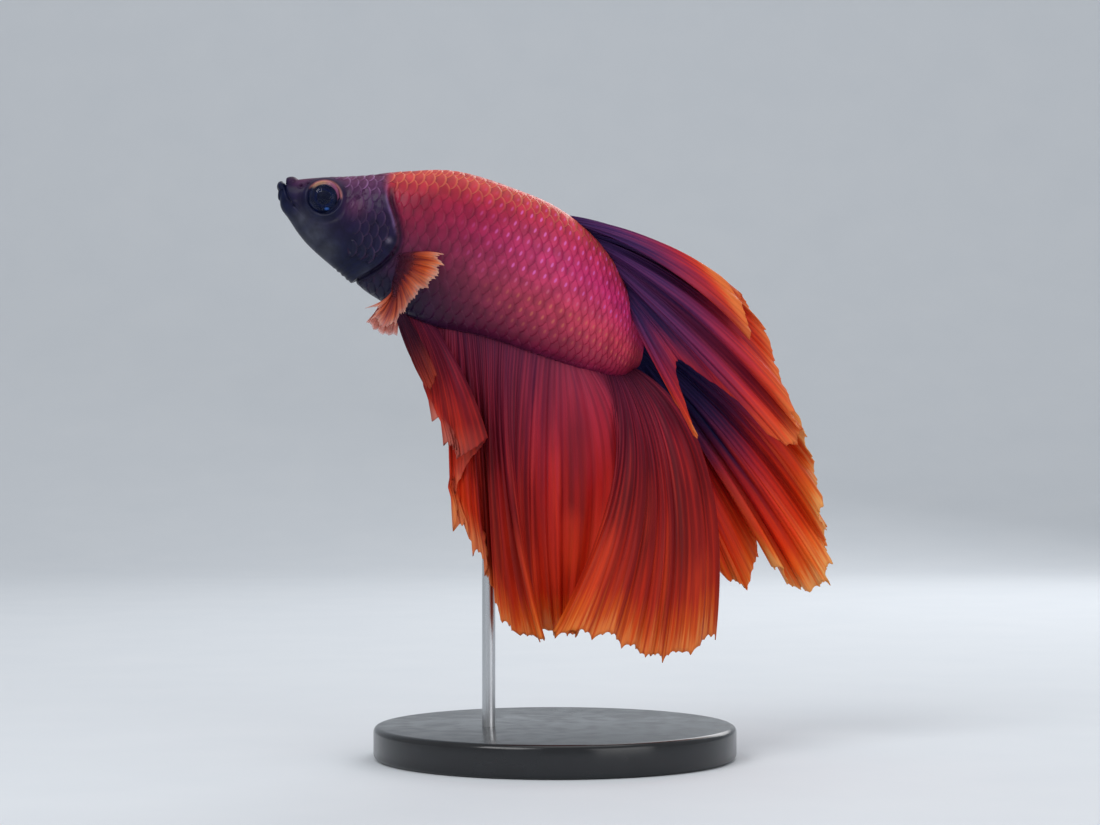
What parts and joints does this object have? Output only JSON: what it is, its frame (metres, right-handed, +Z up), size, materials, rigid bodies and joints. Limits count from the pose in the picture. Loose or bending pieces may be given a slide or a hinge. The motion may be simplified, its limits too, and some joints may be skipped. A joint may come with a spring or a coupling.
{
  "type": "betta fish",
  "caption": "Life-size still model of a red long-finned male betta fish, turning, held over a round black base by one thin rod.",
  "frame": {"origin": "middle of the underside of the round base", "axes": "+Z up; the fish's head points to -X, its left side faces -Y, and its tail bends away towards +Y"},
  "size_m": [0.0679, 0.044, 0.0711],
  "materials": {
    "head_skin": "moist dark skin, purple-black with a lilac sheen",
    "scaled_skin": "red scales with violet-pink glints, moist",
    "fin_membrane": "thin red fin, orange and slightly clear at the edge",
    "clear_fin": "thin orange-pink fin, nearly clear at the tips",
    "eye": "glossy black-blue eye with a pink-gold ring",
    "black_acrylic": "turned and polished black acrylic",
    "steel_rod": "drawn stainless steel wire, lightly polished"
  },
  "bodies": {
    "root": {"head": "head_skin", "lower_jaw": "head_skin", "gill_cover_left": "head_skin", "gill_cover_right": "head_skin", "eye_left": "eye", "eye_right": "eye", "trunk": "scaled_skin", "tail": "scaled_skin", "dorsal_fin": "fin_membrane", "caudal_fin": "fin_membrane", "anal_fin": "fin_membrane", "pectoral_fin_left": "clear_fin", "pectoral_fin_right": "clear_fin", "pelvic_fin_left": "fin_membrane", "pelvic_fin_right": "fin_membrane", "stand_base": "black_acrylic", "stand_rod": "steel_rod"}
  },
  "joints": []
}
